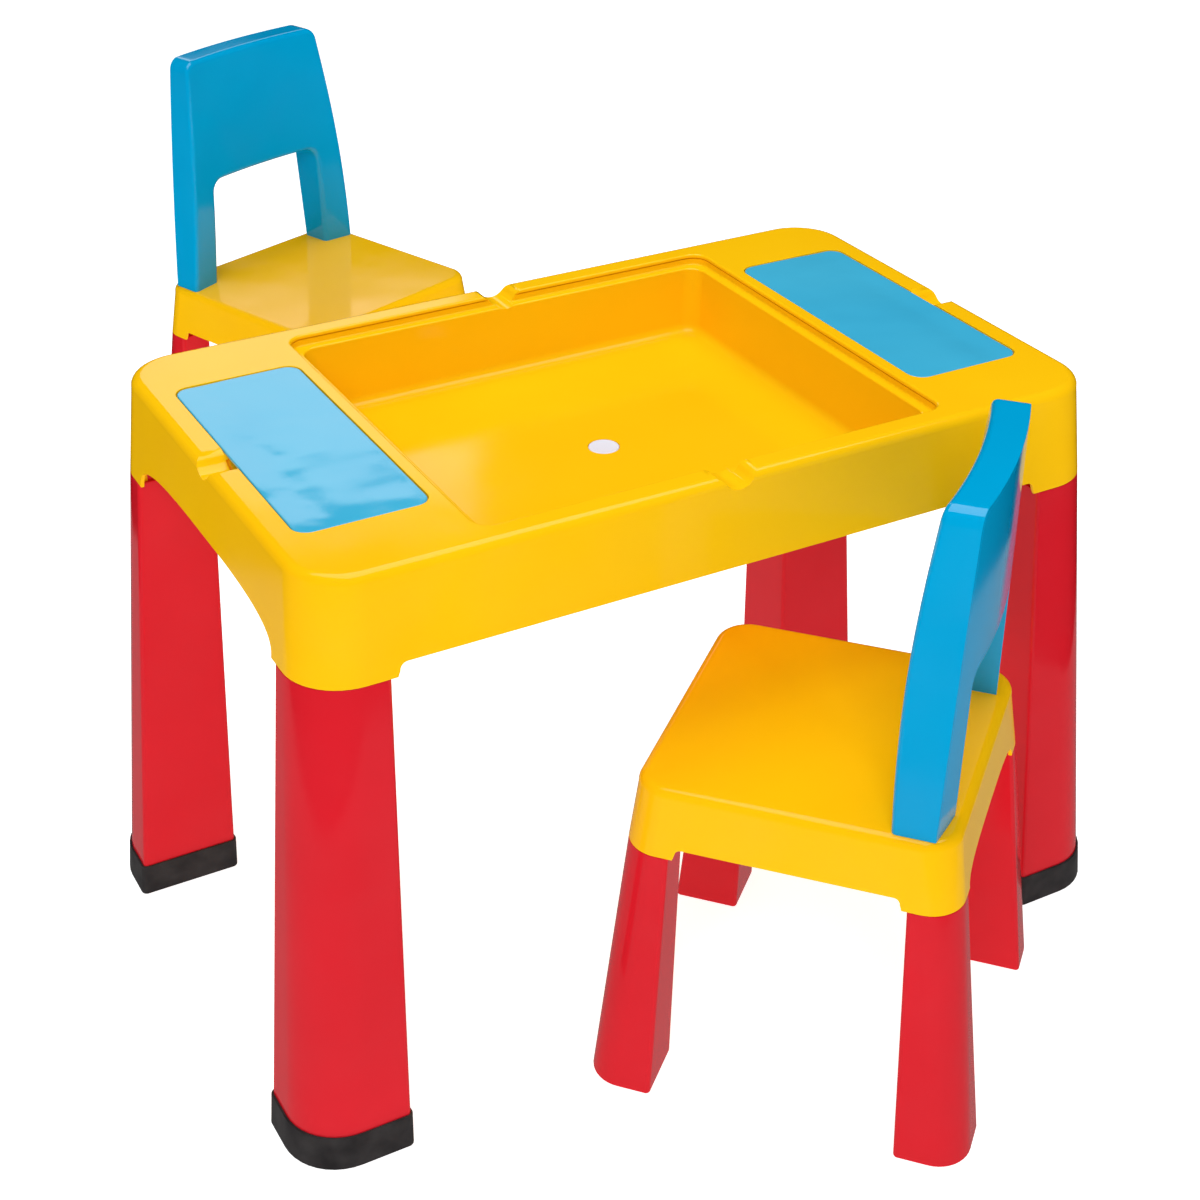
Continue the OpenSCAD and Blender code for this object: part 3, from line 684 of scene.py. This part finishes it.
# %% [markdown]
# ## Lids and plug
# The lids are thin flat mouldings, and thin flat mouldings always warp a little: that is why light
# breaks into waves on them.  A bump could fake it, but the real surface is gently uneven, so the
# plate is sliced into a fine grid and slow noise lowers its points: by less than a millimetre in
# most places, and by up to 1.7 mm along the outer edge.
# Under the plate a low rim keeps the lid in its pocket, open where the finger notch comes in.

# %% Lids
def slice_up(bm, axis, start, end, step):
    """Cuts every face along planes across an axis, step apart, and keeps the mesh closed."""
    count = max(1, round((end - start) / step))
    normal = Vector([float(i == axis) for i in range(3)])
    for i in range(1, count):
        at = start + (end - start) * i / count
        geometry = bm.verts[:] + bm.edges[:] + bm.faces[:]
        bmesh.ops.bisect_plane(bm, geom=geometry, plane_co=normal * at, plane_no=normal, dist=1e-7)


lid_grid, finger_half = 3.5 * MM, 17 * MM
sag_middle, sag_width = 20 * MM, 15 * MM


def wavy(bm, top_z, seed, outer_x):
    """Lowers the points of a top face: slow waves all over, and a sag with a fine crinkle along
    the outer edge."""
    shift = Vector((seed * 7.3, seed * 3.1, seed))
    for v in bm.verts:
        if v.co.z > top_z - 0.9 * MM:
            slow = 0.5 + 0.5 * noise.noise(v.co / (60 * MM) + shift)
            sag = math.exp(-((abs(v.co.x - outer_x) - sag_middle) / sag_width) ** 2)
            long_wave = 0.6 + 0.4 * noise.noise(v.co / (70 * MM) - shift)
            crinkle = noise.noise(v.co / (10 * MM) + shift)
            v.co.z -= (0.6 * slow + sag * (1.0 * long_wave + 0.10 * crinkle)) * MM


def pocket_lid(mid_x, seed):
    top_z, under_z = lid_high.z, lid_high.z - lid_thick
    stations = turn_in(under_z, 0, 0.4 * MM, 1, 2) + turn_in(top_z, 0, 0.8 * MM, -1, 4)
    plate = loft([centred(lid_half_x - inset, lid_half_y - inset, lid_corner - inset, z, mid_x)
                  for z, inset in stations])
    slice_up(plate, 0, mid_x - lid_half_x, mid_x + lid_half_x, lid_grid)
    slice_up(plate, 1, -lid_half_y, lid_half_y, lid_grid)
    wavy(plate, top_z, seed, math.copysign(abs(mid_x) + lid_half_x, mid_x))
    lid = piece_from(plate, "lid_right" if mid_x > 0 else "lid_left")
    x, y = lid_half_x - lid_seat - slip, lid_half_y - lid_seat - slip
    rim_z = lid_low.z
    rim = solid(loft([centred(x, y, lid_corner, z, mid_x) for z in (rim_z, under_z + 0.5 * MM)]))
    hollow = [centred(x - 2 * MM, y - 2 * MM, lid_corner - 2 * MM, z, mid_x)
              for z in (rim_z - 1 * MM, top_z)]
    combine(rim, solid(loft(hollow)), "DIFFERENCE")
    finger_gap = rib(mid_x - 0.1, mid_x + 0.1, -finger_half, finger_half, rim_z - 1 * MM, top_z)
    combine(rim, solid(finger_gap), "DIFFERENCE")
    return combine(lid, rim, "UNION")


for seed, (way, name) in enumerate(((-1, "left_lid"), (1, "right_lid")), 1):
    dress(pocket_lid(way * lid_mid, seed), lid_blue, name, name)
print("lids lie", round((deck_z - lid_high.z) / MM, 2), "mm under the deck")


# %% Drain plug
def drain_plug():
    """A round flange with a soft edge and a shallow dish, on a short hollow stem."""
    low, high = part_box("drain_plug")
    flange, stem, bore = (high.x - low.x) / 2, 9.8 * MM, 7.5 * MM
    under, dish, soft = high.z - 1.8 * MM, high.z - 0.35 * MM, 0.7 * MM
    stations = [(bore, under - 0.4 * MM), (bore, low.z), (stem - 0.6 * MM, low.z), (stem, low.z + 1 * MM),
                (stem, under), (flange - 0.3 * MM, under), (flange, under + 0.4 * MM)]
    stations += [(flange - soft * gone, high.z - soft * left) for left, gone in quarter_turn(3)]
    stations += [(flange - 2.2 * MM, high.z), (flange - 3 * MM, dish), (2 * MM, dish)]
    return loft([centred(r, r, r, z) for r, z in stations])


plug = dress(piece_from(drain_plug(), "white_plug"), white, "drain_plug", "drain_plug")
print("plug flange", round(plug.dimensions.x / MM, 1), "mm across")

# %% [markdown]
# ## The chairs
# Both chairs come from the same moulds, so each form is made once round the middle of its own
# seat, and then placed: the record's seat mount gives where, and the way the chair slides gives
# which way it faces.

# %% Places of the chairs
slides = {j["child"]: Vector(j["axis"]) for j in frame["record"]["behaviour"]["joints"]}
BACKWARDS = {"front_chair": 1, "rear_chair": -1}


def chair_place(chair):
    """The matrix that takes a chair from its own frame, with its back at +Y, to its place."""
    seat = Vector(mounts[chair.replace("chair", "seat")]["pos_m"])
    back = slides[chair] * BACKWARDS[chair]
    turn = math.atan2(-back.x, back.y)
    return Matrix.Translation((seat.x, seat.y, 0)) @ Matrix.Rotation(turn, 4, "Z")


for chair in BACKWARDS:
    print(chair, "at", [round(v, 3) for v in chair_place(chair).translation])

# %% Sizes of a chair
seat_z = mounts["front_seat"]["pos_m"][2]
seat_block_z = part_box("front_chair_seat")[0].z
seat_x, seat_y = 125 * MM, 121 * MM
seat_corner = 28 * MM
seat_lean = {"side": 0.085, "front": 0.1, "back": 0.125}
seat_skirt_z, seat_arch_rise = seat_block_z + 10 * MM, 17 * MM
chair_leg_top, chair_leg_foot = 38 * MM, 55 * MM
chair_spigot = 28 * MM
back_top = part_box("front_chair_back_shell")[1].z - seat_z
back_base, opening_base = 119 * MM, 82 * MM
opening_high = 116 * MM
back_y = seat_y - 4 * MM
post_depth, top_thick, belly = 36 * MM, 28 * MM, 5 * MM
back_bow = 577 * MM
tenon = (26 * MM, 13 * MM, 24 * MM)


def seat_side_x(z):
    return seat_x + seat_lean["side"] * (seat_z - z)


def seat_end_y(way, z):
    return seat_y + seat_lean["back" if way > 0 else "front"] * (seat_z - z)


print("seat at", round(seat_z, 3), "m, backrest up to", round(seat_z + back_top, 3), "m")

# %% [markdown]
# ### Seat
# The seat is the table top in small: a rounded slab with a leaning skirt, hollow below, with ribs,
# four leg sockets and two slots for the backrest.  The front and back edges rise in a broad arch.

# %% Seat
def seat_ring(z, inset):
    x = seat_side_x(z) - inset
    return ring(-x, x, inset - seat_end_y(-1, z), seat_end_y(1, z) - inset, z,
                (max(seat_corner - inset, 3 * MM),) * 4, broad_steps)


def tenon_blocks(grow, high):
    """The two blocks under the posts, for the tenons themselves or for their slots."""
    mid_x, mid_y = (back_base + opening_base) / 2, back_y - post_depth + 10 * MM
    half_x, half_y = tenon[0] / 2 + grow, tenon[1] / 2 + grow
    return [rib(way * mid_x - half_x, way * mid_x + half_x, mid_y - half_y, mid_y + half_y,
                seat_z - tenon[2] - grow, high) for way in (-1, 1)]


def chair_seat():
    lip = [seat_ring(z, inset) for z, inset in turn_in(seat_block_z, 0, 1 * MM, 1)]
    rim = rim_round(seat_x, seat_y, seat_corner, seat_lean["front"], edge_round, seat_z)
    seat = piece_from(loft(lip + rim), "seat_slab")
    under = seat_z - wall
    hollow = [seat_ring(seat_block_z - 2 * overshoot, wall), seat_ring(under - inner_round, wall)]
    hollow += [seat_ring(z, inset) for z, inset in turn_in(under, wall, inner_round, -1)]
    inside = solid(loft(hollow))
    in_x = seat_side_x(seat_block_z) - chair_leg_top
    shut = seat_block_z + chair_spigot + 1 * MM
    for side in SIDES.values():
        in_y = seat_end_y(side[1], seat_block_z) - chair_leg_top

        def corner_block(inset, low, high):
            xs, ys = span(side[0], in_x + inset, far), span(side[1], in_y + inset, far)
            return solid(rib(*xs, *ys, low, high))
        block = corner_block(0, seat_block_z, under + 1 * MM)
        combine(block, corner_block(wall, seat_block_z - far, shut), "DIFFERENCE")
        combine(block, corner_block(wall, shut + wall, far + seat_z), "DIFFERENCE")
        combine(inside, block, "DIFFERENCE")
    for x in (-in_x / 2, 0, in_x / 2):
        combine(inside, solid(rib(x - rib_half, x + rib_half, -seat_y - 2 * MM, seat_y + 2 * MM,
                                  seat_skirt_z + 12 * MM, seat_z)), "DIFFERENCE")
    for block in tenon_blocks(slip + wall, seat_z):
        combine(inside, solid(block), "DIFFERENCE")
    combine(seat, inside, "DIFFERENCE")
    for block in tenon_blocks(slip, seat_z + overshoot):
        combine(seat, solid(block), "DIFFERENCE")
    low = seat_block_z - overshoot
    ends = [seat_end_y(way, seat_block_z) - chair_leg_top for way in (-1, 1)]
    slot = soft_slot(sum(ends) / 2 - 5 * MM, low, seat_skirt_z, 5 * MM)
    slot = [(u + (ends[1] - ends[0]) / 2, v) for u, v in slot]
    combine(seat, solid(prism(slot, "X", -far, far)), "DIFFERENCE")
    arch = broad_arch(in_x - 4 * MM, seat_arch_rise, low, seat_block_z)
    combine(seat, solid(prism(arch, "Y", -far, far)), "DIFFERENCE")
    return seat


def settle(piece, chair, name):
    """Gives a chair piece its name and moves its mesh to the chair's place."""
    piece.name = f"{chair}_{name}"
    piece.data.transform(chair_place(chair))
    return piece


for chair in BACKWARDS:
    seat = settle(chair_seat(), chair, "moulded_seat")
    dress(seat, yellow, chair, f"{chair}_seat", 38)
    print(chair, "seat has", len(seat.data.polygons), "faces")

# %% [markdown]
# ### Chair legs
# A chair's leg is made like the table's: a hollow taper with its broad round corner facing out, and
# a spigot on top.  It wears no cap, so its foot is closed and softly rounded instead.  The same
# ring function draws both kinds, and only the stations differ.

# %% Chair legs
def chair_leg_ring(side, z, inset):
    size = chair_leg_top + (chair_leg_foot - chair_leg_top) * max(0, (seat_block_z - z) / seat_block_z)
    low_z = min(z, seat_block_z)
    width = size + seat_side_x(z) - seat_side_x(low_z)
    depth = size + seat_end_y(side[1], z) - seat_end_y(side[1], low_z)
    return leg_ring(side, (seat_side_x(z), seat_end_y(side[1], z)), (width, depth), seat_corner, z, inset)


def chair_leg(side):
    """Closed and softly rounded at the foot, hollow inside, with an open spigot on top."""
    thick, fit, top = 2.6 * MM, wall + slip, seat_block_z + chair_spigot
    stations = turn_in(0, 0, 2.4 * MM, 1)
    stations += [(share * seat_block_z, 0) for share in (0.3, 0.6)]
    stations += turn_in(seat_block_z, 0, 0.5 * MM, -1, 3)
    stations += [(seat_block_z, fit), (top - 2 * MM, fit), (top, fit + 1 * MM), (top, fit + thick),
                 (seat_block_z - 2 * thick, fit + thick), (seat_block_z - 2 * thick, thick), (thick, thick)]
    return loft([chair_leg_ring(side, z, inset) for z, inset in stations])


for chair in BACKWARDS:
    for number, side in enumerate(SIDES.values(), 1):
        leg = settle(piece_from(chair_leg(side), "leg"), chair, f"red_leg_{number}")
        dress(leg, red, chair, f"{chair}_leg_{number}")
print("chair legs reach", round(seat_block_z + chair_spigot, 3), "m")

# %% [markdown]
# ### Backrest
# A backrest is a hollow shell shaped like a broad arch: two posts and a panel.  It narrows as it
# rises, it is bowed like a shallow barrel and it gets thinner towards the top, while its front
# bulges a few millimetres towards the sitter's back.  Its front edges are round and its back edges
# sharp, because a flat cover closes it from behind.
# The way here is to draw the arch flat, give it depth in rows like a loft, slice it into upright
# strips, and only then bend it: each point's depth becomes a share of the way from the bowed,
# leaning front face to the bowed back face.

# %% Outlines with round corners
def soft_corners(corners, steps=7):
    """A closed outline from (u, v, r) corners, where r rounds the corner."""
    points = []
    for i, (u, v, r) in enumerate(corners):
        here = Vector((u, v))
        if r == 0:
            points.append(here)
            continue
        to_last = (Vector(corners[i - 1][:2]) - here).normalized()
        to_next = (Vector(corners[(i + 1) % len(corners)][:2]) - here).normalized()
        half = to_last.angle(to_next) / 2
        centre = here + (to_last + to_next).normalized() * r / math.sin(half)
        start = here + to_last * r / math.tan(half) - centre
        sweep = start.angle_signed(here + to_next * r / math.tan(half) - centre)
        for step in range(steps + 1):
            spoke = start.copy()
            spoke.rotate(Matrix.Rotation(-sweep * step / steps, 2))
            points.append(centre + spoke)
    return points


def drawn_in(points, inset, keep_floor):
    """The outline moved inwards; with keep_floor its lowest line stays where it is."""
    made = []
    for i, p in enumerate(points):
        last, following = p - points[i - 1], points[(i + 1) % len(points)] - p
        n1 = Vector((-last.y, last.x)).normalized()
        n2 = Vector((-following.y, following.x)).normalized()
        q = p + (n1 + n2) * inset / (1 + n1.dot(n2))
        made.append(Vector((q.x, p.y)) if keep_floor and abs(p.y) < 0.1 * MM else q)
    return made


def back_outline():
    """Front view of the backrest, anticlockwise, with its lowest line at v = 0."""
    taper, curl, shoulder = 20 * MM, 7 * MM, 13 * MM
    side = [(back_base - taper * t - curl * t * t, back_top * t) for t in (i / 14 for i in range(15))]
    right = [(u, v, 0) for u, v in side[:-1]] + [(*side[-1], shoulder)]
    left = [(-u, v, r) for u, v, r in right[::-1]]
    draw, arch_corner = 7 * MM, 14 * MM
    opening = [(-opening_base, 0, 0), (-opening_base + draw, opening_high, arch_corner),
               (opening_base - draw, opening_high, arch_corner), (opening_base, 0, 0)]
    return soft_corners(right + left + opening)


# %% Bend a flat form into the backrest's curve
def bow_at(u):
    return back_bow - math.sqrt(back_bow ** 2 - u ** 2)


def face_y(u, v):
    """Y of the front and of the back face at u across and v above the seat.  The front bulges a
    little at the height of the sitter's back and draws in again towards the seat."""
    t = max(0, min(1, v / back_top))
    bulge = belly * (math.sin(math.pi * t) - 0.5 * (1 - t) ** 3)
    depth = post_depth + (top_thick - post_depth) * t + bulge
    return back_y - depth - bow_at(u), back_y - bow_at(u)


def bent(stations):
    """A closed form from stations (inset, depth, from_back, keep_floor), sliced and bent."""
    outline = back_outline()
    rings = []
    for inset, depth, from_back, keep_floor in stations:
        row = []
        for p in drawn_in(outline, inset, keep_floor):
            front, back = face_y(p.x, p.y)
            share = depth / (back - front)
            row.append(Vector((p.x, 1 - share if from_back else share, p.y)))
        rings.append(row)
    bm = loft(rings)
    slice_up(bm, 0, -back_base, back_base, 7 * MM)
    slice_up(bm, 2, 0, back_top, 12 * MM)
    for v in bm.verts:
        front, back = face_y(v.co.x, v.co.z)
        v.co = Vector((v.co.x, front + (back - front) * v.co.y, v.co.z + seat_z))
    bmesh.ops.recalc_face_normals(bm, faces=bm.faces)
    return bm


def back_shell():
    soft, sharp = 5 * MM, 0.4 * MM
    stations = [(soft * left, soft * gone, False, True) for left, gone in quarter_turn(5)]
    stations += [(0, sharp, True, True), (sharp, 0, True, True), (wall - 0.2 * MM, 0, True, False),
                 (wall, 0.2 * MM, True, False), (wall, wall, False, False)]
    shell = piece_from(bent(stations), "shell")
    for block in tenon_blocks(0, seat_z + wall * 0.6):
        combine(shell, solid(block), "UNION")
    return shell


def back_cover():
    inset, plate, edge = wall + 0.25 * MM, 2.5 * MM, 0.35 * MM
    stations = [(inset, plate, True, False), (inset, edge, True, False), (inset + edge, 0, True, False)]
    return piece_from(bent(stations), "cover")


BACK_PIECES = ((back_shell, "blue_back", "back_shell"), (back_cover, "blue_cover", "back_cover"))
for chair in BACKWARDS:
    for make, name, node in BACK_PIECES:
        dress(settle(make(), chair, name), blue, chair, f"{chair}_{node}", 38)
print("backrests bent, each", round(back_top, 3), "m high")
